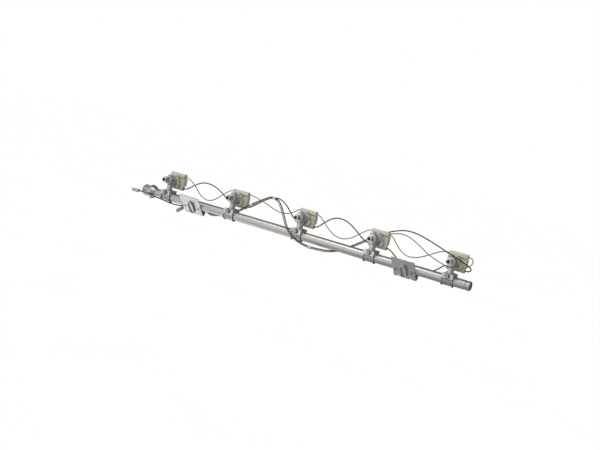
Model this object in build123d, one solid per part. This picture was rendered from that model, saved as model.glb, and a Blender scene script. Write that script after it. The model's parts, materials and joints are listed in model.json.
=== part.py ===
from build123d import *
from math import cos, pi, radians, sin, tan
import os

os.makedirs("parts", exist_ok=True)

# Gas manifold of a five-burner cooktop: a tube with burner valves strapped to it, a spark switch on
# every valve stem, two fixing brackets, an inlet union and the switch harness.
# Millimetres. The origin is the centre of the inlet's mouth. X runs along the pipe to its closed end,
# Y points the way the stems point, and Z points up the valve necks.

# ---------------------------------------------------------------------------- driving dimensions
valve_count = 5
valve_pitch = 171.45            # 6 3/4 in
first_valve = 65.0              # inlet mouth to the first valve

pipe_radius = 19.05 / 2         # 3/4 in tube
pipe_wall = 1.65
pipe_tail = 45.2                # last valve to the pipe's end
spigot_hole_radius = 4.8        # hole in the pipe under each valve
groove_setback = 7.0            # rolled groove to the pipe's end
groove_width = 2.4
groove_depth = 0.7
seat_clearance = 0.05           # between parts that are pressed or strapped together

# Inlet union
inlet_nut_flats = 22.2          # 7/8 in
inlet_nut_length = 19.5
inlet_nut_turn = 7.0            # degrees, from corners straight up
inlet_mouth_radius = 9.2        # thread that the supply screws into
inlet_mouth_depth = 12.0
inlet_stub_radius = 7.9
inlet_bore_radius = 5.5
inlet_flange_radius = 15.6
inlet_flange_thickness = 3.5
inlet_collar_radius = 14.6
inlet_collar_length = 2.5
inlet_taper_length = 7.5
inlet_lip = 1.1                 # wall of the collar where it ends on the pipe
inlet_cone_length = 2.0         # seat inside the mouth
inlet_cone_drop = 1.4
inlet_flange_round = 0.8
nut_face_inset = 0.3            # chamfer starts this far inside the flats
pipe_socket_depth = 10.0

# End plug
end_plug_depth = 12.0
end_plug_head = 2.0
end_plug_head_inset = 0.6
end_plug_round = 1.2

# Valve body
stem_height = 37.0              # pipe axis to stem axis
barrel_radius = 10.8
barrel_front = 13.5
barrel_back = -14.0
barrel_back_radius = 9.2
barrel_taper = 6.0
neck_radius = 6.5
foot_length = 24.0              # along the pipe
foot_half_width = 12.5          # across the pipe
foot_top = 13.0
foot_bottom = 4.0
foot_corner = 3.0
neck_fillet = 2.0
spigot_radius = 4.6
spigot_reach = 2.3              # below the top of the pipe
gas_passage_radius = 2.4
gas_passage_offset = -1.5       # along Y
ear_across = 12.0               # stem axis to ear, along the pipe
ear_rise = 7.5                  # stem axis to ear, up and down
ear_radius = 4.2
ear_thickness = 6.5

# Taper plug
plug_front = 6.5
plug_back = -8.5
bore_front_radius = 7.0
bore_back_radius = 5.6
bore_back = -9.0
running_clearance = 0.06
plug_axial_radius = 3.0
low_port_radius = 0.8
high_angle = 90.0               # turn from OFF to HIGH
low_angle = 210.0               # turn from OFF to LOW
driver_thickness = 2.4
driver_height = 7.2
driver_clearance = 0.15
driver_slot_depth = 4.6
driver_engagement = 1.3

# Outlet fitting
outlet_flats = 14.3             # 9/16 in
outlet_hex_length = 8.0
outlet_thread_radius = 5.55     # 7/16 in thread
outlet_thread_length = 6.0
outlet_thread_chamfer = 0.6
outlet_relief_length = 1.2
outlet_relief_radius = 4.9
outlet_bore_radius = 3.9
outlet_spigot_length = 4.0
outlet_spigot_radius = 4.9

# Bonnet and its screws
bonnet_thickness = 2.5
bonnet_radius = 11.5
bonnet_collar_radius = 8.0
bonnet_collar_length = 5.5
bonnet_screw_radius = 1.65
bonnet_screw_clearance = 0.1
bonnet_head_radius = 3.0
bonnet_head_height = 2.2
bonnet_head_round = 1.1
bonnet_screw_tip = 1.8          # standing out behind the ear

# Stem and spring
stem_radius = 3.175             # 1/4 in
stem_flat = 2.4                 # flat to stem axis
stem_tip = 60.0
knob_shaft_radius = 3.0         # 6 mm shaft for the knob
knob_shaft_length = 23.5
stem_chamfer = 0.6
stem_collar_radius = 5.2
stem_collar_thickness = 1.4
stem_clearance = 0.12
stem_end_play = 0.1
spring_radius = 4.4
spring_wire = 0.7
spring_seat_gap = 0.014         # at each end of the coil
spring_turns = 2.5

# Spark switch
switch_left = 18.0              # stem axis to the left side
switch_right = 20.3
switch_half_height = 18.6
switch_plate_thickness = 2.0
switch_hole_clearance = 1.0
ridge_height = 9.3
ridge_front = 3.0               # ridge standing forward of the plate
ridge_depth = 11.5
ridge_round = 3.2
cover_depth = 10.5
cover_back_wall = 3.0
cover_gap = 0.15
cover_round = 1.5
rotor_radius = 7.8
rotor_cavity_radius = 8.6
rotor_flat_depth = 1.6
rotor_hub_radius = 5.0
rotor_hub_hole_radius = 5.6
rotor_hub_reach = 1.2           # hub standing out of the cover
rotor_end_gap = 0.5
wire_offset = 13.9              # stem axis to the wire channels, up and down
wire_setback = 3.5              # plate front to the wires
wire_socket_depth = 3.0
hook_width = 6.0
hook_thickness = 1.5
hook_overlap = 0.5
hook_gap = 0.1

# Pipe clamp
strap_thickness = 1.5
strap_rib = 1.6                 # turned-out edges
strap_rib_width = 1.5
strap_tab_top = 12.7
strap_hook_clearance = 0.2      # to the neck's fillet
strap_shoulder = 0.5            # slope starts this far below the foot
clamp_screw_height = 8.0
clamp_screw_radius = 2.0
clamp_screw_depth = 4.3
clamp_screw_end_gap = 0.3
clamp_hole_clearance = 0.2
clamp_washer_radius = 5.4
clamp_washer_thickness = 1.2
clamp_hex_flats = 8.0
clamp_hex_height = 3.2

# Gasket
gasket_radius = 6.3
gasket_thickness = 1.8

# Brackets
bracket_left_offset = 75.0         # from valve 1
bracket_right_offset = 80.65       # from valve 4
bracket_width = 51.0
bracket_sheet = 1.6
bracket_tilt = 45.0             # plate's outward normal below the horizontal
bracket_above = 33.0            # along the plate, from where it touches the pipe
bracket_below = 20.0
bracket_corner = 2.0
bracket_hole_spacing = 36.0
bracket_hole_radius = 2.6
bracket_slot_width = 11.0
bracket_slot_length = 30.0
bracket_slot_rise = 1.0         # slot centre above the touching line
bracket_rim = 4.0               # height of the slot's rolled rim
bracket_rim_wall = 1.4
bracket_notch_width = 3.0
bracket_notch_depth = 4.0
bracket_notch_offset = 13.5
cheek_reach = 8.6               # cheek's depth behind the plate
cheek_top = 6.0
cheek_corner = 3.0
bend_radius = 2.2               # outside the cheeks' bends
bend_relief_width = 1.6
bend_relief_depth = 3.4
rim_round = 0.8

# Harness
black_wire_radius = 1.3
tan_wire_radius = 1.1
wire_socket_clearance = 0.25
wire_exit = 6.0                 # straight stretch of wire outside the socket
arc_share = 0.45                # of the shorter run, taken by each bend
terminal_barrel_radius = 1.9
terminal_barrel_length = 7.0
terminal_width = 6.4            # 1/4 in blade receptacle
terminal_thickness = 2.2
terminal_length = 8.0
terminal_slot_width = 5.2
terminal_slot_thickness = 0.9
terminal_slot_floor = 1.0
sleeve_radius = 3.5             # inside
sleeve_wall = 0.5
sleeve_length = 17.0
sleeve_setback = 1.5            # sleeve past the receptacle's mouth
tie_radius = 3.0                # inside
tie_wall = 0.5
tie_length = 7.0

# ---------------------------------------------------------------------------- derived places
valve_places = [first_valve + i * valve_pitch for i in range(valve_count)]
pipe_end = valve_places[-1] + pipe_tail
bracket_places = (valve_places[0] + bracket_left_offset, valve_places[3] + bracket_right_offset)
pipe_start = (inlet_nut_length + inlet_flange_thickness + inlet_collar_length + inlet_taper_length
              - pipe_socket_depth)
pipe_bore_radius = pipe_radius - pipe_wall
ears = [(-ear_across, ear_rise), (ear_across, -ear_rise)]
bonnet_front = barrel_front + bonnet_thickness
plate_front = bonnet_front + bonnet_collar_length
plate_back = plate_front + switch_plate_thickness
wire_y = plate_front + wire_setback
cover_back = plate_back + cover_depth


# ---------------------------------------------------------------------------- shape helpers
def along_x(radius, x0, x1, y=0.0, z=0.0):
    return Pos((x0 + x1) / 2, y, z) * Rot(0, 90, 0) * Cylinder(radius, x1 - x0)


def along_y(radius, y0, y1, x=0.0, z=0.0):
    return Pos(x, (y0 + y1) / 2, z) * Rot(90, 0, 0) * Cylinder(radius, y1 - y0)


def along_z(radius, z0, z1, x=0.0, y=0.0):
    return Pos(x, y, (z0 + z1) / 2) * Cylinder(radius, z1 - z0)


def block(x0, x1, y0, y1, z0, z1):
    return Pos((x0 + x1) / 2, (y0 + y1) / 2, (z0 + z1) / 2) * Box(x1 - x0, y1 - y0, z1 - z0)


def turned_x(profile):
    """Revolve (x, radius) corners about X."""
    return revolve(make_face(Polyline(*[(x, r, 0) for x, r in profile], close=True)), Axis.X)


def turned_y(profile):
    """Revolve (y, radius) corners about Y."""
    return revolve(make_face(Polyline(*[(r, y, 0) for y, r in profile], close=True)), Axis.Y)


def hexagon_y(flats, y0, y1):
    return Pos(0, y0, 0) * Rot(-90, 0, 0) * extrude(
        RegularPolygon(flats / 2, 6, major_radius=False), y1 - y0)


def prism_x(outline, x0, x1):
    """Extrude (y, z) corners along X."""
    face = make_face(Polyline(*[(x0, y, z) for y, z in outline], close=True))
    return extrude(face, x1 - x0, dir=(1, 0, 0))


def bore_radius_at(y):
    slope = (bore_front_radius - bore_back_radius) / (barrel_front - bore_back)
    return bore_back_radius + slope * (y - bore_back)


def save(node, shape):
    shape.label = node
    export_step(shape, f"parts/{node}.step")


# ---------------------------------------------------------------------------- pipe and its ends
def manifold_pipe():
    middle = pipe_end - groove_setback
    low, high = middle - groove_width / 2, middle + groove_width / 2
    dip = pipe_radius - groove_depth
    pipe = turned_x([
        (pipe_start, pipe_bore_radius), (pipe_start, pipe_radius), (low - groove_depth, pipe_radius),
        (low, dip), (high, dip), (high + groove_depth, pipe_radius),
        (pipe_end, pipe_radius), (pipe_end, pipe_bore_radius),
        (high + groove_depth, pipe_bore_radius), (high, pipe_bore_radius - groove_depth),
        (low, pipe_bore_radius - groove_depth), (low - groove_depth, pipe_bore_radius)])
    for x in valve_places:
        pipe -= along_z(spigot_hole_radius, 0, 2 * pipe_radius, x)
    return pipe


def end_plug():
    middle = pipe_end - groove_setback
    low, high = middle - groove_width / 2, middle + groove_width / 2
    shank = pipe_bore_radius - seat_clearance
    dip = shank - groove_depth
    head = pipe_radius - end_plug_head_inset
    plug = turned_x([
        (pipe_end - end_plug_depth, 0), (pipe_end - end_plug_depth, shank),
        (low - groove_depth, shank), (low, dip), (high, dip), (high + groove_depth, shank),
        (pipe_end, shank), (pipe_end, head), (pipe_end + end_plug_head, head),
        (pipe_end + end_plug_head, 0)])
    rim = plug.edges().filter_by(GeomType.CIRCLE).sort_by(Axis.X)[-1]
    return fillet(rim, min(end_plug_round, 0.8 * end_plug_head))


def inlet_adapter():
    flange_x = inlet_nut_length
    collar_x = flange_x + inlet_flange_thickness
    taper_x = collar_x + inlet_collar_length
    end_x = taper_x + inlet_taper_length
    socket = pipe_radius + seat_clearance
    cone_end = inlet_mouth_depth + inlet_cone_length
    adapter = turned_x([
        (inlet_mouth_depth, inlet_bore_radius),
        (inlet_mouth_depth, inlet_stub_radius - inlet_cone_drop), (cone_end, inlet_stub_radius),
        (flange_x, inlet_stub_radius), (flange_x, inlet_flange_radius),
        (collar_x, inlet_flange_radius), (collar_x, inlet_collar_radius),
        (taper_x, inlet_collar_radius), (end_x, pipe_radius + inlet_lip),
        (end_x, socket), (pipe_start, socket), (pipe_start, inlet_bore_radius)])
    rims = adapter.edges().filter_by(GeomType.CIRCLE).group_by(SortBy.RADIUS)[-1]
    return fillet(rims, min(inlet_flange_round, 0.4 * inlet_flange_thickness))


def inlet_nut():
    outer = Rot(0, 90, 0) * extrude(
        RegularPolygon(inlet_nut_flats / 2, 6, major_radius=False), inlet_nut_length)
    corner = inlet_nut_flats / 2 / cos(pi / 6)
    chamfer_drop = corner - inlet_nut_flats / 2
    outer &= turned_x([
        (0, 0), (0, inlet_nut_flats / 2 - nut_face_inset), (chamfer_drop + nut_face_inset, corner),
        (inlet_nut_length, corner), (inlet_nut_length, 0)])
    mouth = along_x(inlet_mouth_radius, -1, inlet_mouth_depth)
    stub = along_x(inlet_stub_radius + seat_clearance, 0, inlet_nut_length + 1)
    return Rot(inlet_nut_turn, 0, 0) * (outer - mouth - stub)


# ---------------------------------------------------------------------------- valve
def ear_bar(radius, y0, y1):
    """Flat bar through both ears and the stem axis, with round ends."""
    reach = (ear_across ** 2 + ear_rise ** 2) ** 0.5
    bar = Pos(0, (y0 + y1) / 2, 0) * Box(2 * reach, y1 - y0, 2 * radius)
    angle = Vector(ear_across, ear_rise, 0).get_angle(Vector(1, 0, 0))
    bar = Rot(0, angle, 0) * bar
    for x, z in ears:
        bar += along_y(radius, y0, y1, x, z)
    return bar


def valve_body():
    barrel = turned_y([
        (barrel_back, 0), (barrel_back, barrel_back_radius),
        (barrel_back + barrel_taper, barrel_radius), (barrel_front, barrel_radius), (barrel_front, 0)])
    barrel += ear_bar(ear_radius, barrel_front - ear_thickness, barrel_front)
    foot = block(-foot_length / 2, foot_length / 2, -foot_half_width, foot_half_width,
                 foot_bottom, foot_top)
    foot = fillet(foot.edges().filter_by(Axis.Z), foot_corner)
    body = Pos(0, 0, stem_height) * barrel + along_z(neck_radius, foot_top, stem_height) + foot
    waist = body.edges().filter_by(GeomType.CIRCLE).filter_by(
        lambda e: abs(e.center().Z - foot_top) < 0.01 and abs(e.radius - neck_radius) < 0.01)
    body = fillet(waist, neck_fillet)
    body -= along_x(pipe_radius + seat_clearance, -foot_length, foot_length)
    body -= along_z(gasket_radius + seat_clearance, 0,
                    pipe_radius + gasket_thickness + seat_clearance)
    body += along_z(spigot_radius, pipe_radius - spigot_reach, foot_top)
    body -= Pos(0, 0, stem_height) * turned_y([
        (bore_back, 0), (bore_back, bore_back_radius), (barrel_front, bore_front_radius),
        (barrel_front, 0)])
    body -= along_z(gas_passage_radius, 0, stem_height, 0, gas_passage_offset)
    body -= along_y(outlet_bore_radius, barrel_back - 1, bore_back + 1, 0, stem_height)
    body -= along_y(outlet_spigot_radius + seat_clearance, barrel_back - 1,
                    barrel_back + outlet_spigot_length, 0, stem_height)
    for x, z in ears:
        body -= along_y(bonnet_screw_radius + bonnet_screw_clearance, barrel_front - ear_thickness - 1,
                        barrel_front + 1, x, stem_height + z)
    body -= along_y(clamp_screw_radius + seat_clearance, -foot_half_width - 1,
                    -foot_half_width + clamp_screw_depth, 0, clamp_screw_height)
    return body


def valve_plug():
    """Taper plug: gas enters a side port and leaves along the axis."""
    plug = turned_y([
        (plug_back, 0), (plug_back, bore_radius_at(plug_back) - running_clearance),
        (plug_front, bore_radius_at(plug_front) - running_clearance), (plug_front, 0)])
    plug -= along_y(plug_axial_radius, plug_back - 1, gas_passage_offset + gas_passage_radius)
    port = along_z(gas_passage_radius, -2 * bore_front_radius, 0, 0, gas_passage_offset)
    low_port = along_z(low_port_radius, -2 * bore_front_radius, 0, 0, gas_passage_offset)
    plug -= Rot(0, -high_angle, 0) * port
    plug -= Rot(0, -low_angle, 0) * low_port
    half_thickness = driver_thickness / 2 + driver_clearance
    half_height = driver_height / 2 + driver_clearance
    plug -= block(-half_thickness, half_thickness, plug_front - driver_slot_depth, plug_front + 1,
                  -half_height, half_height)
    return Pos(0, 0, stem_height) * plug


def outlet_fitting():
    hex_back = barrel_back - outlet_hex_length
    mouth = hex_back - outlet_relief_length - outlet_thread_length
    fitting = hexagon_y(outlet_flats, hex_back, barrel_back)
    fitting += turned_y([
        (mouth, 0), (mouth, outlet_thread_radius - outlet_thread_chamfer),
        (mouth + outlet_thread_chamfer, outlet_thread_radius),
        (hex_back - outlet_relief_length, outlet_thread_radius),
        (hex_back - outlet_relief_length, outlet_relief_radius), (hex_back, outlet_relief_radius),
        (hex_back, 0)])
    fitting += along_y(outlet_spigot_radius, barrel_back, barrel_back + outlet_spigot_length)
    fitting -= along_y(outlet_bore_radius, mouth - 1, barrel_front)
    return Pos(0, 0, stem_height) * fitting


def valve_bonnet():
    bonnet = ear_bar(ear_radius, barrel_front, bonnet_front)
    bonnet += along_y(bonnet_radius, barrel_front, bonnet_front)
    bonnet += along_y(bonnet_collar_radius, bonnet_front, plate_front)
    bonnet -= along_y(stem_radius + stem_clearance, barrel_front - 1, plate_front + 1)
    for x, z in ears:
        bonnet -= along_y(bonnet_screw_radius + bonnet_screw_clearance, barrel_front - 1,
                          bonnet_front + 1, x, z)
    return Pos(0, 0, stem_height) * bonnet


def bonnet_screw():
    tip = barrel_front - ear_thickness - bonnet_screw_tip
    screw = along_y(bonnet_head_radius, bonnet_front, bonnet_front + bonnet_head_height)
    rim = screw.edges().filter_by(GeomType.CIRCLE).sort_by(Axis.Y)[-1]
    screw = fillet(rim, min(bonnet_head_round, 0.8 * bonnet_head_height))
    return screw + along_y(bonnet_screw_radius, tip, bonnet_front)


def valve_stem():
    """Stem: driver tongue, spring collar, then a shaft with a flat for the rotor and the knob."""
    collar_front = barrel_front - stem_end_play
    collar_back = collar_front - stem_collar_thickness
    tongue_tip = plug_front - driver_engagement
    shoulder = stem_tip - knob_shaft_length
    shaft = along_y(stem_radius, collar_front, shoulder) + along_y(knob_shaft_radius, shoulder, stem_tip)
    shaft = chamfer(shaft.edges().filter_by(GeomType.CIRCLE).sort_by(Axis.Y)[-1], stem_chamfer)
    shaft -= block(-stem_radius, stem_radius, plate_front, stem_tip + 1, stem_flat, 2 * stem_radius)
    tongue = block(-driver_thickness / 2, driver_thickness / 2, tongue_tip, collar_back,
                   -driver_height / 2, driver_height / 2)
    stem = shaft + along_y(stem_collar_radius, collar_back, collar_front) + tongue
    return Pos(0, 0, stem_height) * stem


def stem_spring():
    """Coil of square wire between the plug and the stem's collar."""
    length = barrel_front - stem_end_play - stem_collar_thickness - plug_front
    rise = length - spring_wire
    path = Helix(pitch=rise / spring_turns, height=rise, radius=spring_radius)
    side = spring_wire - 2 * spring_seat_gap
    section = Plane(origin=path @ 0, z_dir=path % 0) * Rectangle(side, side)
    coil = sweep(section, path=path, is_frenet=True)
    return Pos(0, plug_front + spring_wire / 2, stem_height) * Rot(-90, 0, 0) * coil


def spigot_gasket():
    ring = along_z(gasket_radius, pipe_radius - 2 * spigot_reach, pipe_radius + gasket_thickness)
    ring -= along_z(spigot_radius + seat_clearance, 0, 2 * pipe_radius)
    return ring - along_x(pipe_radius + seat_clearance, -foot_length, foot_length)


# ---------------------------------------------------------------------------- spark switch
def ridge(z_middle):
    """Wire channel across the switch, with rounded long edges."""
    y0 = plate_front - ridge_front
    bar = block(-switch_left, switch_right, y0, y0 + ridge_depth,
                z_middle - ridge_height / 2, z_middle + ridge_height / 2)
    return fillet(bar.edges().filter_by(Axis.X), ridge_round)


def hook(side):
    """Moulded hook that grips the bonnet's edge."""
    y0 = barrel_front - hook_gap - hook_thickness
    z_out = bonnet_radius + hook_gap
    arm = block(-hook_width / 2, hook_width / 2, y0, plate_front - ridge_front + ridge_round,
                z_out, z_out + hook_thickness)
    lip = block(-hook_width / 2, hook_width / 2, y0, y0 + hook_thickness,
                bonnet_radius - hook_overlap, z_out)
    shape = arm + lip
    return shape if side > 0 else mirror(shape, Plane.XY)


def switch_housing():
    middle = switch_half_height - ridge_height / 2
    body = block(-switch_left, switch_right, plate_front, plate_back, -middle, middle)
    for side in (-1, 1):
        body += ridge(side * middle) + hook(side)
    body -= along_y(stem_radius + switch_hole_clearance, plate_front - 1, plate_back + 1)
    for side in (-1, 1):
        for radius_side, x0, x1 in ((1, switch_right - wire_socket_depth, switch_right + 1),
                                    (-1, -switch_left - 1, -switch_left + wire_socket_depth)):
            wire = tan_wire_radius if side > 0 else black_wire_radius
            body -= along_x(wire + wire_socket_clearance, x0, x1, wire_y, side * wire_offset)
    return Pos(0, 0, stem_height) * body


def switch_cover():
    half = switch_half_height - ridge_height - cover_gap
    shell = block(-switch_left, switch_right, plate_back, cover_back, -half, half)
    shell = fillet(shell.edges().filter_by(Axis.Y), cover_round)
    shell -= along_y(rotor_cavity_radius, plate_back - 1, cover_back - cover_back_wall)
    shell -= along_y(rotor_hub_hole_radius, plate_back - 1, cover_back + 1)
    return Pos(0, 0, stem_height) * shell


def switch_rotor():
    """Cam on the stem: a disc with one flat lobe, and a hub that shows behind the cover."""
    front = plate_back + rotor_end_gap
    disc_back = cover_back - cover_back_wall - rotor_end_gap
    rotor = along_y(rotor_radius, front, disc_back)
    rotor -= block(-rotor_radius, rotor_radius, front - 1, disc_back + 1,
                   rotor_radius - rotor_flat_depth, rotor_radius)
    rotor += along_y(rotor_hub_radius, disc_back, cover_back + rotor_hub_reach)
    hole = along_y(stem_radius + stem_clearance, front - 1, cover_back + rotor_hub_reach + 1)
    hole -= block(-2 * stem_radius, 2 * stem_radius, front - 2, cover_back + rotor_hub_reach + 2,
                  stem_flat + stem_clearance, 2 * stem_radius)
    return Pos(0, 0, stem_height) * (rotor - hole)


# ---------------------------------------------------------------------------- clamp
def strap_profile(half_width, radius, corner, top):
    """The strap's (y, z) corners above the pipe's axis."""
    return [(-half_width, top), (-half_width, corner), (-radius, 0), (radius, 0),
            (half_width, corner), (half_width, top)]


def pipe_clamp():
    """U strap: round under the pipe, flat up the foot's sides, and hooked over its back edge."""
    inside = pipe_radius + seat_clearance
    outer = inside + strap_thickness
    tab = foot_half_width + strap_thickness
    half = foot_length / 2
    inner_corner = foot_bottom - strap_shoulder
    outer_corner = inner_corner - strap_shoulder
    strap = along_x(outer, -half, half)
    strap += prism_x(strap_profile(tab, outer, outer_corner, strap_tab_top), -half, half)
    for x0 in (-half, half - strap_rib_width):
        strap += along_x(outer + strap_rib, x0, x0 + strap_rib_width)
    strap -= along_x(inside, -foot_length, foot_length)
    strap -= prism_x(strap_profile(foot_half_width, inside, inner_corner, 2 * foot_top),
                     -foot_length, foot_length)
    hook_edge = neck_radius + neck_fillet + strap_hook_clearance
    strap += block(-half, half, foot_half_width, tab, strap_tab_top - 1, foot_top + strap_thickness)
    strap += block(-half, half, hook_edge, tab, foot_top, foot_top + strap_thickness)
    return strap - along_y(clamp_screw_radius + clamp_hole_clearance, -2 * tab, 0, 0,
                           clamp_screw_height)


def clamp_screw():
    seat = -foot_half_width - strap_thickness
    washer_back = seat - clamp_washer_thickness
    screw = along_y(clamp_washer_radius, washer_back, seat)
    screw += hexagon_y(clamp_hex_flats, washer_back - clamp_hex_height, washer_back)
    screw += along_y(clamp_screw_radius, seat, -foot_half_width + clamp_screw_depth - clamp_screw_end_gap)
    return Pos(0, 0, clamp_screw_height) * screw


# ---------------------------------------------------------------------------- bracket
def bracket_slot(touch):
    """The slot's rolled rim, and the slot itself, as (solid to add, solid to cut)."""
    overall = bracket_slot_length + 2 * bracket_rim_wall
    rim = extrude(SlotOverall(overall, bracket_slot_width + 2 * bracket_rim_wall),
                  bracket_sheet + bracket_rim)
    rim = fillet(rim.edges().group_by(Axis.Z)[-1], rim_round)
    slot = extrude(SlotOverall(bracket_slot_length, bracket_slot_width), 4 * touch)
    upright = Pos(0, bracket_slot_rise, 0) * Rot(0, 0, 90)
    return Pos(0, 0, touch) * upright * rim, upright * slot


def bracket_cheek(side, touch):
    """Side flange that bends back from the plate and rests on the pipe."""
    half = bracket_width / 2
    back = touch - cheek_reach
    x0, x1 = sorted((side * half, side * (half - bracket_sheet)))
    cheek = prism_x([(cheek_top, touch + bracket_sheet), (-bracket_below, touch + bracket_sheet),
                     (-bracket_below, back + cheek_corner), (-bracket_below + cheek_corner, back),
                     (-pipe_radius, back), (cheek_top, touch)], x0, x1)
    return cheek - along_x(touch, x0 - 1, x1 + 1)


def fixing_bracket():
    """Plate tangent to the pipe, drawn in its own frame: X along the pipe, Y up the plate, Z outward."""
    touch = pipe_radius + seat_clearance
    face = touch + bracket_sheet
    half = bracket_width / 2
    plate = block(-half, half, -bracket_below, bracket_above, touch, face)
    plate = fillet(plate.edges().filter_by(Axis.Z).group_by(Axis.Y)[-1], bracket_corner)
    for side in (-1, 1):
        plate += bracket_cheek(side, touch)
        x0, x1 = sorted((side * (half + 1), side * (half - bend_relief_depth)))
        plate -= block(x0, x1, cheek_top, cheek_top + bend_relief_width, 0, 2 * face)
    bends = plate.edges().filter_by(Axis.Y).filter_by(
        lambda e: abs(abs(e.center().X) - half) < 0.01 and abs(e.center().Z - face) < 0.01
        and e.center().Y < cheek_top)
    plate = fillet(bends, bend_radius)
    rim, slot = bracket_slot(touch)
    plate = plate + rim - slot
    for side in (-1, 1):
        plate -= Pos(side * bracket_hole_spacing / 2, 0, 0) * Cylinder(bracket_hole_radius, 8 * touch)
        x = side * bracket_notch_offset
        plate -= block(x - bracket_notch_width / 2, x + bracket_notch_width / 2, -2 * bracket_below,
                       -bracket_below + bracket_notch_depth, touch - 1, face + 1)
    tilt = radians(bracket_tilt)
    return Plane(origin=(0, 0, 0), x_dir=(1, 0, 0), z_dir=(0, -cos(tilt), -sin(tilt))) * plate


# ---------------------------------------------------------------------------- harness
def corner_radii(route):
    """The largest tangent arc that the two runs at each corner leave room for."""
    radii = []
    for before, here, after in zip(route, route[1:], route[2:]):
        a, b = Vector(*here) - Vector(*before), Vector(*after) - Vector(*here)
        radii.append(arc_share * min(a.length, b.length) / tan(radians(a.get_angle(b)) / 2))
    return radii


def cord(node, route, radius):
    radii = corner_radii(route)
    path = FilletPolyline(*route, radius=radii)
    tube = sweep(Plane(origin=path @ 0, z_dir=path % 0) * Circle(radius), path=path)
    share = tube.volume / (pi * radius ** 2 * path.length)
    print(node, "length", round(path.length), "smallest radius", round(min(radii), 1),
          "diameters", round(min(radii) / radius / 2, 1), "volume share", round(share, 4))
    return tube


def socket(valve, side, level):
    """A wire's first two points: the socket's bottom, and a point straight out of it.

    Side -1 is the left of the switch, and level 1 its upper channel.
    """
    reach = switch_right if side > 0 else switch_left
    x = valve_places[valve] + side * reach
    y, z = wire_y, stem_height + level * wire_offset
    return [(x - side * wire_socket_depth, y, z), (x + side * wire_exit, y, z)]


# Routes are (x, y, z) points between the sockets, chosen to clear the pipe, the stems and the brackets.
black_chain = [
    [(101, 27.5, 29.5), (113, 30, 40), (129, 31.5, 49), (153, 31.5, 50), (176, 30, 43),
     (197.5, 27.8, 32)],
    [(274, 27.5, 31.5), (288, 30, 43.5), (307, 32, 57), (329, 32.5, 62), (350, 31.5, 51),
     (366.5, 29.5, 36), (375.5, 27.2, 28.5)],
    [(444, 27.5, 33), (457, 30, 47), (475, 31, 56), (498, 31, 54), (520, 30.5, 42),
     (540, 28, 29)],
    [(617, 26, 15.5), (632, 26, 6), (657, 25.5, -2), (685, 25.5, -3), (708, 26, 5), (720, 26, 15)]]
tan_chain = [
    [(105, 24.5, 44), (121, 23, 33), (136, 22, 19.5), (157, 21.5, 12.5), (176, 21.5, 20),
     (192, 22, 35), (204, 24, 46)],
    [(275, 24.7, 50), (292, 23.5, 46), (310, 22.3, 41.3), (329, 21.5, 35.5), (349, 21.5, 32.5),
     (367, 22.5, 37), (376, 24, 43)],
    [(448, 24.5, 40.5), (462, 23, 29), (480, 22, 18), (502, 22, 15.5), (521, 22, 24),
     (534.5, 22.6, 35.5), (545.5, 24.2, 45)],
    [(618, 24.5, 38), (630, 23.5, 27), (647, 23, 18.5), (670, 22.5, 22), (690, 23, 33),
     (703, 23.6, 41.5), (715, 24.6, 48)]]
black_lead = [
    (784, 18.6, 26.2), (787, 10.5, 30.4), (787, 1.5, 34.7), (780.5, -9, 39.3), (765, -17, 46.3),
    (743.5, -18, 51.9), (718, -10, 59), (686.5, 3, 65.6), (654, 19, 69.9), (627, 31, 68.3),
    (604, 39, 61), (585, 43.5, 52.7), (565, 44, 41), (545, 38, 26), (526, 29, 10), (510, 18.5, -3),
    (497, 12.5, -9.5), (484, 5, -13.8), (470, -2, -15), (455, -9, -15.5), (439, -15, -14.5),
    (422, -19.5, -10), (405, -21.5, -2), (389, -18, 10), (373, -9, 28), (357, -1, 47), (340, 6, 61),
    (321, 10, 62.5), (302, 12, 52), (284, 14, 41), (265, 15, 28), (246, 17.5, 13), (229, 18.5, 1),
    (213, 15.5, -8), (199, 9, -13.5), (184, 8, -14), (170, 13, -11), (156, 16, -6.5),
    (140, 16.5, -5.5), (125, 16, -6.5), (112, 13, -9.8), (100, 6.5, -13.2), (88, -2.5, -13.8),
    (76, -9.2, -12), (63, -12.4, -10), (49, -12.8, -8.6), (35.5, -14.6, -6.6), (23, -18, -4.8),
    (10.5, -20.3, -4), (-1, -20.8, -4.4)]
tan_lead = [
    (783.5, 18.5, 48.6), (786.5, 12.5, 43), (785.2, 6, 37.4), (779.5, -4, 31.6), (770.8, -12.5, 28.2),
    (760, -18, 26.5), (748.5, -19.6, 26.4), (735, -16, 28.9), (719, -8.5, 31.6), (696.4, 3, 37.1),
    (674.9, 14, 45.8), (655.9, 24, 52.5), (635.2, 33, 58.6), (614.8, 39.2, 58.5), (594.6, 43.5, 52.6),
    (573, 45.5, 42),
    (551, 42, 27.5), (532, 34.5, 12), (514, 23.5, -2.5), (499, 15.6, -11), (484, 6.2, -16.8),
    (470, -2.4, -18), (455, -10.6, -18), (439, -17, -16.8), (422, -21.8, -12), (405, -24.4, -3.5),
    (387.5, -20.6, 8.4), (371, -10.4, 26), (355, -2.2, 45), (338.5, 5, 58.2), (321.5, 9.2, 59.7),
    (303, 11.4, 49.4), (285.5, 14, 38.2), (266.9, 14, 25.6), (247.9, 16.5, 10.4), (231, 18.7, -2),
    (212, 18, -10), (198.4, 10.6, -16.2), (184, 9.6, -16.6), (171, 15, -13.2), (157, 18.6, -8.2),
    (141, 19.2, -8), (127, 18.5, -9.5), (115, 17.2, -11.2), (106.5, 15.5, -13), (102.5, 14.2, -16.8)]


def chain_cords():
    for valve in range(valve_count - 1):
        for colour, chain, radius, level in (("black", black_chain, black_wire_radius, -1),
                                             ("tan", tan_chain, tan_wire_radius, 1)):
            node = f"{colour}_wire_{valve + 1}"
            route = [*socket(valve, 1, level), *chain[valve], *reversed(socket(valve + 1, -1, level))]
            save(node, cord(node, route, radius))


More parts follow.
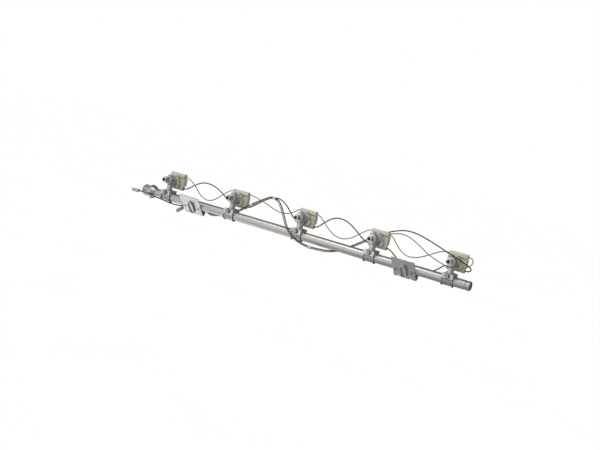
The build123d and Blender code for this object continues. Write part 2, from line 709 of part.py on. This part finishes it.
def lead_routes():
    last = valve_count - 1
    return [*socket(last, 1, -1), *black_lead], [*socket(last, 1, 1), *tan_lead]


def lead_end(route):
    """Plane at a lead's free end, facing away from the wire."""
    end, before = Vector(*route[-1]), Vector(*route[-2])
    return Plane(origin=end, z_dir=end - before, x_dir=(0, 1, 0))


def lead_terminal(route):
    """Crimp barrel that meets the wire's end, and a blade receptacle open at its far end."""
    mouth = terminal_barrel_length + terminal_length
    barrel = Pos(0, 0, terminal_barrel_length / 2) * Cylinder(terminal_barrel_radius,
                                                              terminal_barrel_length)
    half_width, half_thickness = terminal_width / 2, terminal_thickness / 2
    receptacle = block(-half_width, half_width, -half_thickness, half_thickness,
                       terminal_barrel_length, mouth)
    slot = block(-terminal_slot_width / 2, terminal_slot_width / 2, -terminal_slot_thickness / 2,
                 terminal_slot_thickness / 2, terminal_barrel_length + terminal_slot_floor, mouth + 1)
    return lead_end(route) * (barrel + receptacle - slot)


def terminal_sleeve(route):
    middle = terminal_barrel_length + terminal_length + sleeve_setback - sleeve_length / 2
    tube = Cylinder(sleeve_radius + sleeve_wall, sleeve_length) - Cylinder(sleeve_radius, sleeve_length)
    return lead_end(route) * Pos(0, 0, middle) * tube


def run_middle(route, start):
    """Middle and direction of the straight run that begins at one of a route's points."""
    first = route.index(start)
    a, b = Vector(*route[first]), Vector(*route[first + 1])
    return (a + b) / 2, (b - a).normalized()


# Where the two leads are bound: the points that begin the bound run of each.
tie_runs = [((455, -9, -15.5), (455, -10.6, -18)), ((340, 6, 61), (338.5, 5, 58.2)),
            ((284, 14, 41), (285.5, 14, 38.2))]


def lead_tie(black_start, tan_start):
    black_middle, black_way = run_middle(black_lead, black_start)
    tan_middle, tan_way = run_middle(tan_lead, tan_start)
    spread = tan_middle - black_middle
    centre = black_middle + spread * 0.5 + spread.normalized() * (tan_wire_radius - black_wire_radius) / 2
    ring = Cylinder(tie_radius + tie_wall, tie_length) - Cylinder(tie_radius, tie_length)
    return Plane(origin=centre, z_dir=black_way + tan_way) * ring


def lead_cords():
    routes = lead_routes()
    for node, route, radius in zip(("black_lead", "tan_lead"), routes,
                                   (black_wire_radius, tan_wire_radius)):
        save(node, cord(node, route, radius))
    save("lead_terminals", Compound(children=[lead_terminal(route) for route in routes]))
    save("terminal_sleeves", Compound(children=[terminal_sleeve(route) for route in routes]))
    save("lead_ties", Compound(children=[lead_tie(*starts) for starts in tie_runs]))


# ---------------------------------------------------------------------------- all nodes
def main():
    save("manifold_pipe", manifold_pipe())
    save("end_plug", end_plug())
    save("inlet_adapter", inlet_adapter())
    save("inlet_nut", inlet_nut())

    single = {"valve_body": valve_body(), "valve_plug": valve_plug(), "valve_stem": valve_stem(),
              "stem_spring": stem_spring(), "switch_housing": switch_housing(),
              "switch_rotor": switch_rotor()}
    for name, shape in single.items():
        for number, x in enumerate(valve_places, 1):
            save(f"{name}_{number}", Pos(x, 0, 0) * shape)

    grouped = {"outlet_fittings": [outlet_fitting()], "valve_bonnets": [valve_bonnet()],
               "switch_covers": [switch_cover()], "pipe_clamps": [pipe_clamp()],
               "clamp_screws": [clamp_screw()], "spigot_gaskets": [spigot_gasket()],
               "bonnet_screws": [Pos(x, 0, stem_height + z) * bonnet_screw() for x, z in ears]}
    for name, shapes in grouped.items():
        save(name, Compound(children=[Pos(x, 0, 0) * s for x in valve_places for s in shapes]))

    bracket = fixing_bracket()
    for side, x in zip(("left", "right"), bracket_places):
        save(f"bracket_{side}", Pos(x, 0, 0) * bracket)

    chain_cords()
    lead_cords()


main()
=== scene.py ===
import bmesh
import bpy
import json
from math import cos, pi, radians, sin, tau
from mathutils import Matrix, Vector


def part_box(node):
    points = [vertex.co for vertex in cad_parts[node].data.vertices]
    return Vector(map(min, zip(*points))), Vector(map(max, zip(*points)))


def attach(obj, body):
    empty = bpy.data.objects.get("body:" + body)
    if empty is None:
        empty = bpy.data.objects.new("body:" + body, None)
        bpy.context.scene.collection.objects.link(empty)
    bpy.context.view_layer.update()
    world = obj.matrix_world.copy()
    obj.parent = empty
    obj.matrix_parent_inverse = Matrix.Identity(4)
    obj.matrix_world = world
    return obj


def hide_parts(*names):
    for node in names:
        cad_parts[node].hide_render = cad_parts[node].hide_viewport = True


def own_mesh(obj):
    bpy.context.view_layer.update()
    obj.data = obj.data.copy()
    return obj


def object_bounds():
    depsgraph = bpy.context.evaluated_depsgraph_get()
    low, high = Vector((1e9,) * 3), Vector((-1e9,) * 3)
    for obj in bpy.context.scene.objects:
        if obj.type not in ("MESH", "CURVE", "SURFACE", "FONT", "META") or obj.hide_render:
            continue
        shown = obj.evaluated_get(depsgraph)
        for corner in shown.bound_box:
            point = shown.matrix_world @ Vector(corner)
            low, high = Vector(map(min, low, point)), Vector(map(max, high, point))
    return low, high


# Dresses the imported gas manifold: a material for every CAD node, wires as smooth splines, round-wire return
# springs, pans that close the brackets' slots, a pale floor, studio light and the camera. Metres, apart from
# what a comment gives in mm.

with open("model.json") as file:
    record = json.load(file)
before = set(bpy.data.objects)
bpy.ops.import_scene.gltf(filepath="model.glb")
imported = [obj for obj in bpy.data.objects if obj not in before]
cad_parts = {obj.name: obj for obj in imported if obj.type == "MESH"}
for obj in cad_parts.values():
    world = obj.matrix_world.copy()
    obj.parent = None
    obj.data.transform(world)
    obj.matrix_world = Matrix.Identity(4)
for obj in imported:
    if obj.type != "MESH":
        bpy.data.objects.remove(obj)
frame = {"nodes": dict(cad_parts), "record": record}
cad_low, cad_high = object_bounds()
MM = 0.001
valve_count = sum(name.startswith("valve_body_") for name in frame["nodes"])
valves = range(1, valve_count + 1)


def show(name, data):
    """Puts a mesh, a curve, a light or a camera into the scene."""
    piece = bpy.data.objects.new(name, data)
    bpy.context.scene.collection.objects.link(piece)
    return piece


def finished_mesh(name, mesh):
    """A smooth-shaded mesh from a closed bmesh, with its faces turned outward."""
    bmesh.ops.recalc_face_normals(mesh, faces=mesh.faces)
    data = bpy.data.meshes.new(name)
    mesh.to_mesh(data)
    mesh.free()
    data.shade_smooth()
    return data


# ---------------------------------------------------------------------------- material helpers
class Nodes:
    """Adds linked nodes to a node tree."""

    def __init__(self, tree):
        self.tree = tree

    def add(self, kind, inputs=None, **settings):
        node = self.tree.nodes.new(kind)
        for key, value in settings.items():
            setattr(node, key, value)
        for key, value in (inputs or {}).items():
            if isinstance(value, bpy.types.NodeSocket):
                self.tree.links.new(value, node.inputs[key])
            else:
                node.inputs[key].default_value = value
        return node

    def ramp(self, value, *stops):
        """Colour along a value: stops are (position, (r, g, b))."""
        node = self.add("ShaderNodeValToRGB", {"Fac": value})
        elements = node.color_ramp.elements
        while len(elements) < len(stops):
            elements.new(0.5)
        for element, (position, colour) in zip(elements, stops):
            element.position = position
            element.color = (*colour, 1)
        return node.outputs["Color"]

    def spread(self, value, low, high, start=0.35, end=0.65):
        node = self.add("ShaderNodeMapRange", {"Value": value, "From Min": start, "From Max": end,
                                               "To Min": low, "To Max": high})
        return node.outputs["Result"]

    def mix(self, factor, a, b, blend="MIX"):
        node = self.add("ShaderNodeMix", data_type="RGBA", blend_type=blend)
        for socket, value in ((node.inputs["Factor"], factor), (node.inputs[6], a), (node.inputs[7], b)):
            if isinstance(value, bpy.types.NodeSocket):
                self.tree.links.new(value, socket)
            else:
                socket.default_value = (*value, 1) if isinstance(value, tuple) else value
        return node.outputs[2]


class Paint(Nodes):
    """One node material, built around its Principled shader."""

    def __init__(self, name, **values):
        self.made = bpy.data.materials.new(name)
        self.made.use_nodes = True
        super().__init__(self.made.node_tree)
        self.shader = self.tree.nodes["Principled BSDF"]
        for key, value in values.items():
            self.shader.inputs[key.replace("_", " ")].default_value = value

    def place(self, scale=(1, 1, 1)):
        """Object coordinates, stretched."""
        where = self.add("ShaderNodeTexCoord").outputs["Object"]
        mapped = self.add("ShaderNodeMapping", {"Vector": where, "Scale": scale})
        return mapped.outputs["Vector"]

    def noise(self, scale, stretch=(1, 1, 1), detail=4.0):
        made = self.add("ShaderNodeTexNoise", {"Vector": self.place(stretch), "Scale": scale,
                                               "Detail": detail, "Roughness": 0.55})
        return made.outputs["Fac"]

    def edges(self):
        """0 on flats, 1 on sharp outer edges."""
        sharp = self.add("ShaderNodeNewGeometry").outputs["Pointiness"]
        return self.spread(sharp, 0, 1, 0.5, 0.56)

    def corners(self, reach):
        """1 in the open, towards 0 in grooves and under other pieces."""
        return self.add("ShaderNodeAmbientOcclusion", {"Distance": reach}, samples=16).outputs["AO"]

    def bump(self, height, strength, round_edges=0.0):
        inputs = {"Height": height, "Strength": strength, "Distance": 0.0002}
        if round_edges:
            inputs["Normal"] = self.add("ShaderNodeBevel", {"Radius": round_edges}, samples=4).outputs[0]
        return self.add("ShaderNodeBump", inputs).outputs["Normal"]

    def finish(self, **links):
        for key, value in links.items():
            self.tree.links.new(value, self.shader.inputs[key.replace("_", " ")])
        return self.made


def painted_shade(paint, colour, shade_colour, reach=0.004, strength=0.55):
    """Darkens a colour in corners, in grooves and under other pieces: painted shade."""
    shade_share = paint.spread(paint.corners(reach), strength, 0, 0.2, 0.9)
    return paint.mix(shade_share, colour, shade_colour)


# ---------------------------------------------------------------------------- metals
def tube_steel():
    """Drawn tube: long faint streaks, and small stains."""
    paint = Paint("tube_steel", Metallic=1.0)
    streaks = paint.noise(60, (0.06, 1, 1), detail=6)
    stains = paint.noise(35, detail=3)
    base = paint.ramp(streaks, (0.3, (0.47, 0.45, 0.43)), (0.7, (0.64, 0.62, 0.6)))
    base = paint.mix(paint.spread(stains, 0, 0.5, 0.55, 0.75), base, (0.52, 0.45, 0.4))
    # Painted shade: the tube's colour darkens in corners and under other pieces.
    base = painted_shade(paint, base, (0.14, 0.13, 0.12))
    normal = paint.bump(streaks, 0.12, round_edges=0.0002)
    return paint.finish(Base_Color=base, Roughness=paint.spread(streaks, 0.24, 0.4), Normal=normal)


def turned_steel(name, light, dark, low, high):
    """Turned and plated steel: fine lines square to X, the union's axis, and a little tarnish."""
    paint = Paint(name, Metallic=1.0)
    tarnish = paint.noise(120, detail=5)
    lines = paint.noise(900, (1, 0.02, 0.02), detail=2)
    base = paint.ramp(tarnish, (0.3, dark), (0.72, light))
    # Painted shade: darker in grooves and under other pieces, towards a quarter of the dark tone.
    base = painted_shade(paint, base, tuple(0.25 * value for value in dark))
    normal = paint.bump(lines, 0.08, round_edges=0.0003)
    return paint.finish(Base_Color=base, Roughness=paint.spread(tarnish, low, high), Normal=normal)


def plated_steel():
    """Zinc plate: cool grey with cloudy patches, brighter at the edges."""
    paint = Paint("plated_steel", Metallic=1.0)
    clouds = paint.noise(140, detail=5)
    base = paint.ramp(clouds, (0.3, (0.36, 0.37, 0.355)), (0.55, (0.46, 0.47, 0.455)),
                      (0.75, (0.55, 0.555, 0.54)))
    # Painted shade: the plate's colour darkens in corners and under other pieces.
    base = painted_shade(paint, base, (0.04, 0.04, 0.035), 0.005, 0.75)
    base = paint.mix(paint.edges(), base, (0.66, 0.66, 0.66))
    normal = paint.bump(paint.noise(700), 0.05, round_edges=0.0002)
    return paint.finish(Base_Color=base, Roughness=paint.spread(clouds, 0.28, 0.45), Normal=normal)


def cast_aluminium():
    """Die casting: satin skin with fine grain, shade in the corners."""
    paint = Paint("cast_aluminium", Metallic=0.9)
    grain = paint.noise(900, detail=3)
    patches = paint.noise(150, detail=4)
    base = paint.ramp(patches, (0.3, (0.64, 0.64, 0.65)), (0.7, (0.78, 0.78, 0.79)))
    # Painted shade: the casting's colour darkens in corners and under other pieces.
    base = painted_shade(paint, base, (0.05, 0.045, 0.04), 0.006, 0.75)
    base = paint.mix(paint.edges(), base, (0.88, 0.88, 0.88))
    normal = paint.bump(grain, 0.1, round_edges=0.0004)
    return paint.finish(Base_Color=base, Roughness=paint.spread(patches, 0.36, 0.52), Normal=normal)


def sheet_steel():
    """Galvanised sheet: faint crystal patches."""
    paint = Paint("sheet_steel", Metallic=0.95)
    cells = paint.add("ShaderNodeTexVoronoi", {"Vector": paint.place(), "Scale": 260})
    shade = paint.add("ShaderNodeRGBToBW", {"Color": cells.outputs["Color"]}).outputs["Val"]
    clouds = paint.noise(90, detail=5)
    base = paint.ramp(shade, (0.0, (0.57, 0.575, 0.585)), (1.0, (0.69, 0.695, 0.705)))
    base = paint.mix(paint.spread(clouds, 0, 0.35), base, (0.5, 0.51, 0.53))
    # Painted shade: the sheet's colour darkens in corners and under other pieces.
    base = painted_shade(paint, base, (0.2, 0.2, 0.2), 0.003, 0.3)
    normal = paint.bump(clouds, 0.08, round_edges=0.0003)
    return paint.finish(Base_Color=base, Roughness=paint.spread(shade, 0.3, 0.44, 0, 1), Normal=normal)


def soft_metal(name, light, dark, roughness):
    """Small brass and steel pieces: cloudy colour and an even sheen."""
    paint = Paint(name, Metallic=1.0, Roughness=roughness)
    cloud = paint.noise(300, detail=4)
    base = paint.ramp(cloud, (0.35, dark), (0.65, light))
    return paint.finish(Base_Color=base, Normal=paint.bump(cloud, 0.1, round_edges=0.0001))


# ---------------------------------------------------------------------------- plastics and rubber
def moulded(name, light, dark, shade_colour, roughness=0.42, subsurface=0.0):
    """Moulded plastic: faint flow marks and a fine spark-eroded skin."""
    paint = Paint(name, Roughness=roughness, Subsurface_Weight=subsurface, Subsurface_Scale=0.002)
    flow = paint.noise(70, detail=4)
    base = paint.ramp(flow, (0.3, dark), (0.7, light))
    # Painted shade: the plastic's colour darkens in corners and under other pieces.
    base = painted_shade(paint, base, shade_colour, 0.003, 0.6)
    normal = paint.bump(paint.noise(600, detail=2), 0.04, round_edges=0.0003)
    return paint.finish(Base_Color=base, Normal=normal)


def insulation(name, light, dark):
    """Wire insulation: soft sheen with a faint unevenness."""
    paint = Paint(name, Roughness=0.4, Coat_Weight=0.15, Coat_Roughness=0.3)
    uneven = paint.noise(220, detail=3)
    base = paint.ramp(uneven, (0.3, dark), (0.7, light))
    return paint.finish(Base_Color=base, Normal=paint.bump(uneven, 0.15))


def clear_vinyl():
    """Slightly cloudy clear sleeve."""
    paint = Paint("clear_sleeve", Transmission_Weight=0.8, IOR=1.12, Coat_Weight=0.2)
    cloudy = paint.noise(400, detail=3)
    base = paint.ramp(cloudy, (0.3, (0.92, 0.93, 0.92)), (0.7, (0.98, 0.98, 0.98)))
    return paint.finish(Base_Color=base, Roughness=paint.spread(cloudy, 0.12, 0.3))


# For the moulded finishes, the colour after light and dark is the colour of their painted shade.
finishes = {
    "tube_steel": tube_steel(),
    "union_steel": turned_steel("union_steel", (0.76, 0.78, 0.78), (0.56, 0.57, 0.57), 0.16, 0.28),
    "plated_steel": plated_steel(),
    "cast_aluminium": cast_aluminium(),
    "plug_brass": soft_metal("plug_brass", (0.8, 0.62, 0.3), (0.6, 0.43, 0.2), 0.3),
    "spring_steel": soft_metal("spring_steel", (0.55, 0.55, 0.55), (0.4, 0.4, 0.4), 0.3),
    "switch_plastic": moulded("switch_plastic", (0.8, 0.75, 0.61), (0.73, 0.67, 0.52),
                              (0.2, 0.15, 0.08), subsurface=0.1),
    "cover_plastic": moulded("cover_plastic", (0.84, 0.82, 0.76), (0.76, 0.74, 0.67),
                             (0.25, 0.22, 0.16)),
    "rotor_plastic": moulded("rotor_plastic", (0.85, 0.84, 0.8), (0.78, 0.77, 0.72), (0.3, 0.28, 0.24)),
    "fitting_metal": turned_steel("fitting_metal", (0.88, 0.88, 0.88), (0.7, 0.7, 0.7), 0.14, 0.26),
    "screw_steel": turned_steel("screw_steel", (0.42, 0.42, 0.4), (0.26, 0.26, 0.24), 0.18, 0.3),
    "gasket_rubber": moulded("gasket_rubber", (0.03, 0.03, 0.03), (0.015, 0.015, 0.015),
                             (0.005, 0.005, 0.005), 0.6),
    "sheet_steel": sheet_steel(),
    "black_insulation": insulation("black_insulation", (0.05, 0.05, 0.052), (0.025, 0.025, 0.027)),
    "tan_insulation": insulation("tan_insulation", (0.45, 0.28, 0.17), (0.36, 0.21, 0.12)),
    "terminal_brass": soft_metal("terminal_brass", (0.92, 0.66, 0.46), (0.8, 0.5, 0.33), 0.5),
    "clear_sleeve": clear_vinyl(),
    "tie_plastic": moulded("tie_plastic", (0.85, 0.84, 0.8), (0.78, 0.76, 0.7), (0.4, 0.38, 0.33))}

for entry in frame["record"]["subparts"]:
    mesh = frame["nodes"][entry["node"]].data
    mesh.materials.clear()
    mesh.materials.append(finishes[entry["material_slot"]])


# ---------------------------------------------------------------------------- wires
# Route points in mm. They are the solids' own, but for five points of each lead from just past valve 2 to
# near the left bracket, which sit up to 6.4 mm away so that the leads pass behind the pipe as in the
# photograph.
black_chain = [
    [(101, 27.5, 29.5), (113, 30, 40), (129, 31.5, 49), (153, 31.5, 50), (176, 30, 43),
     (197.5, 27.8, 32)],
    [(274, 27.5, 31.5), (288, 30, 43.5), (307, 32, 57), (329, 32.5, 62), (350, 31.5, 51),
     (366.5, 29.5, 36), (375.5, 27.2, 28.5)],
    [(444, 27.5, 33), (457, 30, 47), (475, 31, 56), (498, 31, 54), (520, 30.5, 42),
     (540, 28, 29)],
    [(617, 26, 15.5), (632, 26, 6), (657, 25.5, -2), (685, 25.5, -3), (708, 26, 5), (720, 26, 15)]]
tan_chain = [
    [(105, 24.5, 44), (121, 23, 33), (136, 22, 19.5), (157, 21.5, 12.5), (176, 21.5, 20),
     (192, 22, 35), (204, 24, 46)],
    [(275, 24.7, 50), (292, 23.5, 46), (310, 22.3, 41.3), (329, 21.5, 35.5), (349, 21.5, 32.5),
     (367, 22.5, 37), (376, 24, 43)],
    [(448, 24.5, 40.5), (462, 23, 29), (480, 22, 18), (502, 22, 15.5), (521, 22, 24),
     (534.5, 22.6, 35.5), (545.5, 24.2, 45)],
    [(618, 24.5, 38), (630, 23.5, 27), (647, 23, 18.5), (670, 22.5, 22), (690, 23, 33),
     (703, 23.6, 41.5), (715, 24.6, 48)]]
black_lead = [
    (784, 18.6, 26.2), (787, 10.5, 30.4), (787, 1.5, 34.7), (780.5, -9, 39.3), (765, -17, 46.3),
    (743.5, -18, 51.9), (718, -10, 59), (686.5, 3, 65.6), (654, 19, 69.9), (627, 31, 68.3),
    (604, 39, 61), (585, 43.5, 52.7), (565, 44, 41), (545, 38, 26), (526, 29, 10), (510, 18.5, -3),
    (497, 12.5, -9.5), (484, 5, -13.8), (470, -2, -15), (455, -9, -15.5), (439, -15, -14.5),
    (422, -19.5, -10), (405, -21.5, -2), (389, -18, 10), (373, -9, 28), (357, -1, 47), (340, 6, 61),
    (321, 10, 62.5), (302, 12, 52), (284, 14, 41), (265, 15, 28), (246, 17.5, 14), (229, 18.5, 5),
    (213, 17, -2.5), (199, 13.5, -9), (184, 11.5, -12.3), (170, 13, -11), (156, 16, -6.5),
    (140, 16.5, -5.5), (125, 16, -6.5), (112, 13, -9.8), (100, 6.5, -13.2), (88, -2.5, -13.8),
    (76, -9.2, -12), (63, -12.4, -10), (49, -12.8, -8.6), (35.5, -14.6, -6.6), (23, -18, -4.8),
    (10.5, -20.3, -4), (-1, -20.8, -4.4)]
tan_lead = [
    (783.5, 18.5, 48.6), (786.5, 12.5, 43), (785.2, 6, 37.4), (779.5, -4, 31.6), (770.8, -12.5, 28.2),
    (760, -18, 26.5), (748.5, -19.6, 26.4), (735, -16, 28.9), (719, -8.5, 31.6), (696.4, 3, 37.1),
    (674.9, 14, 45.8), (655.9, 24, 52.5), (635.2, 33, 58.6), (614.8, 39.2, 58.5), (594.6, 43.5, 52.6),
    (573, 45.5, 42),
    (551, 42, 27.5), (532, 34.5, 12), (514, 23.5, -2.5), (499, 15.6, -11), (484, 6.2, -16.8),
    (470, -2.4, -18), (455, -10.6, -18), (439, -17, -16.8), (422, -21.8, -12), (405, -24.4, -3.5),
    (387.5, -20.6, 8.4), (371, -10.4, 26), (355, -2.2, 45), (338.5, 5, 58.2), (321.5, 9.2, 59.7),
    (303, 11.4, 49.4), (285.5, 14, 38.2), (266.9, 14, 25.6), (247.9, 16.5, 11.4), (231, 18.7, 2),
    (212, 18, -5), (198.4, 14.4, -11.6), (184, 11.5, -15), (171, 15, -13.2), (157, 18.6, -8.2),
    (141, 19.2, -8), (127, 18.5, -9.5), (115, 17.2, -11.2), (106.5, 15.5, -13), (102.5, 14.2, -16.8)]

# Where a wire enters a switch, and the wires' diameters, all in mm.
socket_depth, socket_exit = 3.0, 6.0
socket_y, socket_height, socket_offset = 25.0, 37.0, 13.9
wire_diameters = {"black": 2.6, "tan": 2.2}


def socket(valve, side, level):
    """The socket's bottom and the point straight out of it, on one side of a switch."""
    low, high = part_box(f"switch_housing_{valve}")
    face = (high if side > 0 else low)[0] / MM
    z = socket_height + level * socket_offset
    return [(face - side * socket_depth, socket_y, z), (face + side * socket_exit, socket_y, z)]


def wire(name, colour, route):
    """A round, limp wire along a route; the route in mm."""
    curve = bpy.data.curves.new(name, "CURVE")
    curve.dimensions = "3D"
    curve.bevel_depth = wire_diameters[colour] / 2 * MM
    curve.bevel_resolution = 4
    curve.resolution_u = 10
    curve.use_fill_caps = True
    spline = curve.splines.new("NURBS")
    spline.points.add(len(route) - 1)
    for point, place in zip(spline.points, route):
        point.co = (*(value * MM for value in place), 1)
    spline.order_u = 3
    spline.use_endpoint_u = True
    curve.materials.append(finishes[f"{colour}_insulation"])
    piece = show(name, curve)
    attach(piece, "manifold")
    return piece


for first in range(1, valve_count):
    for colour, chain, level in (("black", black_chain, -1), ("tan", tan_chain, 1)):
        route = [*socket(first, 1, level), *chain[first - 1], *reversed(socket(first + 1, -1, level))]
        piece = wire(f"{colour}_wire_spline_{first}", colour, route)
        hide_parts(f"{colour}_wire_{first}")

for colour, lead, level in (("black", black_lead, -1), ("tan", tan_lead, 1)):
    piece = wire(f"{colour}_lead_spline", colour, [*socket(valve_count, 1, level), *lead])
    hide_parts(f"{colour}_lead")


# ---------------------------------------------------------------------------- return springs
def tube_along(name, centres, directions, radius, sides=10):
    """A closed tube. Each ring is centred on a given point, in the plane of two given directions."""
    mesh = bmesh.new()
    rings = [[mesh.verts.new(centre + radius * (cos(tau * side / sides) * across
                                                + sin(tau * side / sides) * along))
              for side in range(sides)] for centre, (across, along) in zip(centres, directions)]
    for here, there in zip(rings, rings[1:]):
        for side in range(sides):
            after = (side + 1) % sides
            mesh.faces.new((here[side], here[after], there[after], there[side]))
    mesh.faces.new(rings[0])
    mesh.faces.new(reversed(rings[-1]))
    return finished_mesh(name, mesh)


spring_turns = 2.5
spring_wire = 0.33 * MM         # radius
steps_per_turn = 24


def return_spring(valve):
    """Round-wire coil between the plug and the stem's collar."""
    node, joint = f"stem_spring_{valve}", f"valve_{valve}_push"
    low, high = (Vector(corner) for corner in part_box(node))
    middle = (low + high) / 2
    radius = (high.x - low.x) / 2 - spring_wire
    start, rise = low.y + spring_wire, high.y - low.y - 2 * spring_wire
    steps = int(spring_turns * steps_per_turn)
    centres, directions = [], []
    for step in range(steps + 1):
        angle = tau * step / steps_per_turn
        across = Vector((cos(angle), 0, sin(angle)))
        ahead = Vector((-radius * sin(angle), rise / (tau * spring_turns), radius * cos(angle)))
        centres.append(Vector((middle.x, start + rise * step / steps, middle.z)) + radius * across)
        directions.append((across, ahead.cross(across).normalized()))
    name = f"coil_{valve}"
    piece = show(name, tube_along(name, centres, directions, spring_wire))
    piece.data.materials.append(finishes["spring_steel"])
    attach(piece, f"stem_{valve}")
    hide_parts(node)
    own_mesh(piece)


for valve in valves:
    return_spring(valve)


# ---------------------------------------------------------------------------- slot pans
# The solids leave the brackets' slots open. In the photograph the left one reads as closed and the right
# one is unclear, and both are closed here. In mm, in the plate's frame: slot_half is half the run between
# the oval's round ends, and heights are from the pipe's axis.
slot_half, slot_rise = 9.5, 1.0
# (radius, height) of each ring, from the pan's back rim to its middle.
pan_rings = ((5.46, 11.6), (5.46, 13.5), (4.9, 12.8), (4.0, 12.4), (2.6, 12.25), (0.6, 12.2))
plate_tilt = radians(45)


def oval(radius, height, count=20):
    """Points round an upright oval, anticlockwise from its right side."""
    points = []
    for end in (1, -1):
        for step in range(count + 1):
            angle = pi * step / count + (0 if end > 0 else pi)
            points.append((radius * cos(angle), slot_rise + end * slot_half + radius * sin(angle), height))
    return points


def slot_pan(name, bracket):
    """A shallow pan inside the slot's raised rim, ahead of the plate's face."""
    low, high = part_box(bracket)
    middle = (low[0] + high[0]) / 2
    slope = sin(plate_tilt)
    mesh = bmesh.new()
    rings = [[mesh.verts.new((middle + x * MM, -slope * (y + z) * MM, slope * (y - z) * MM))
              for x, y, z in oval(radius, height)] for radius, height in pan_rings]
    for outer, inner in zip(rings, rings[1:]):
        for index in range(len(outer)):
            after = (index + 1) % len(outer)
            mesh.faces.new((outer[index], outer[after], inner[after], inner[index]))
    mesh.faces.new(rings[-1])
    mesh.faces.new(reversed(rings[0]))
    piece = show(name, finished_mesh(name, mesh))
    piece.data.materials.append(finishes["sheet_steel"])
    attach(piece, "manifold")


for side in ("left", "right"):
    slot_pan(f"slot_pan_{side}", f"bracket_{side}")


# ---------------------------------------------------------------------------- floor, light, camera
floor_drop = 0.22               # floor below the lowest solid
floor_half = 14
# Half the room's brightness at an angle in degrees: -90 is under the row, 0 before it, 90 over it.
room_around = ((-180, 0.12), (-150, 0.2), (-110, 0.45), (-64, 0.4), (-36, 0.5), (-12, 0.55), (14, 0.45),
               (40, 0.35), (66, 0.26), (90, 0.18), (112, 0.1), (130, 0.07), (150, 0.07), (180, 0.1))
# Its share of that along X: in full for directions whose Z is under 0.2, fading out to none over 0.75.
room_along = ((-1, 0.98), (-0.6, 0.95), (-0.42, 0.6), (-0.3, 0.4), (0, 0.32), (1, 0.3))


def pale_floor():
    """A white floor that glows just enough to be the picture's background, and lights nothing."""
    middle = (Vector(cad_low) + Vector(cad_high)) / 2
    mesh = bmesh.new()
    bmesh.ops.create_grid(mesh, x_segments=8, y_segments=8, size=floor_half)
    data = bpy.data.meshes.new("floor")
    mesh.to_mesh(data)
    mesh.free()
    floor = show("floor", data)
    floor.location = (middle.x, middle.y, cad_low[2] - floor_drop)
    paint = Paint("floor", Roughness=1.0, Specular_IOR_Level=0.0, Emission_Strength=1.0)
    paint.shader.inputs["Base Color"].default_value = (0.01, 0.01, 0.01, 1)
    tone = paint.ramp(paint.noise(3), (0.3, (0.99, 0.99, 0.99)), (0.7, (1, 1, 1)))
    data.materials.append(paint.finish(Emission_Color=tone))
    for kind in ("diffuse", "glossy", "transmission"):
        setattr(floor, f"visible_{kind}", False)


def soft_light(name, place, target, size, power, mirrored=False):
    """A panel aimed at a target. Mirrored ones show in reflections, and the others in diffuse light."""
    light = bpy.data.lights.new(name, "AREA")
    light.shape = "RECTANGLE"
    light.size, light.size_y = size
    light.energy = power
    lamp = show(name, light)
    lamp.location = place
    lamp.rotation_euler = (Vector(target) - Vector(place)).to_track_quat("-Z", "Y").to_euler()
    lamp.visible_glossy = mirrored
    lamp.visible_diffuse = not mirrored


def studio_world():
    """White to the camera. To all else, a room whose light follows the angle about X."""
    world = bpy.data.worlds.new("studio")
    world.use_nodes = True
    world.node_tree.nodes.clear()
    nodes = Nodes(world.node_tree)
    where = nodes.add("ShaderNodeTexCoord").outputs["Generated"]
    x, y, z = nodes.add("ShaderNodeSeparateXYZ", {0: where}).outputs
    forward = nodes.add("ShaderNodeMath", {0: y, 1: -1.0}, operation="MULTIPLY").outputs[0]
    angle = nodes.add("ShaderNodeMath", {0: z, 1: forward}, operation="ARCTAN2").outputs[0]
    around = nodes.ramp(nodes.spread(angle, 0, 1, -pi, pi),
                        *(((degrees + 180) / 360, (light,) * 3) for degrees, light in room_around))
    along = nodes.ramp(nodes.spread(x, 0, 1, -1, 1),
                       *(((place + 1) / 2, (light,) * 3) for place, light in room_along))
    low = nodes.mix(1.0, around, along, "MULTIPLY")
    room = nodes.mix(nodes.spread(z, 0, 1, 0.2, 0.75), low, around)
    lit = nodes.add("ShaderNodeBackground", {"Color": room, "Strength": 2.0}).outputs[0]
    white = nodes.add("ShaderNodeBackground", {"Color": (1, 1, 1, 1)}).outputs[0]
    seen = nodes.add("ShaderNodeLightPath").outputs["Is Camera Ray"]
    mixed = nodes.add("ShaderNodeMixShader", {0: seen, 1: lit, 2: white}).outputs[0]
    nodes.add("ShaderNodeOutputWorld", {"Surface": mixed})
    bpy.context.scene.world = world


# The camera fitted to the photograph.
camera_place = (1.33496, -1.8522, 0.2171)
camera_right = (0.859, 0.4548, 0.2351)
camera_back = (0.4457, -0.8902, 0.094)
camera_lens, camera_sensor = 59.27, 36      # mm


def photo_camera():
    """The photograph's view: from the right and slightly above, with the camera's right side tipped up."""
    right = Vector(camera_right).normalized()
    back = Vector(camera_back).normalized()
    up = back.cross(right).normalized()
    right = up.cross(back)
    camera = show("camera", bpy.data.cameras.new("camera"))
    turn = Matrix((right, up, back)).transposed().to_4x4()
    camera.matrix_world = Matrix.Translation(camera_place) @ turn
    camera.data.sensor_width = camera_sensor
    camera.data.lens = camera_lens
    camera.data.clip_end = 100
    bpy.context.scene.camera = camera


pale_floor()
studio_world()
centre = (0.4, 0.0, 0.02)
soft_light("key", (-0.6, -1.7, 2.0), centre, (2.2, 1.6), 18)
soft_light("fill", (2.2, -2.0, 0.9), centre, (2.0, 2.0), 12)
soft_light("rim", (0.6, 1.8, 1.4), centre, (2.6, 0.5), 8)
soft_light("over_panel", (0.05, -0.65, 1.1), (0.45, 0, 0), (0.75, 0.75), 3.6, mirrored=True)
soft_light("front_panel", (-0.05, -1.5, 0.1), (0.5, 0, 0), (0.8, 1.5), 1.9, mirrored=True)
soft_light("under_panel", (-0.35, 0.1, -0.8), (0.14, 0, 0), (0.7, 0.8), 1.1, mirrored=True)
photo_camera()
bpy.context.scene.view_settings.view_transform = "Standard"
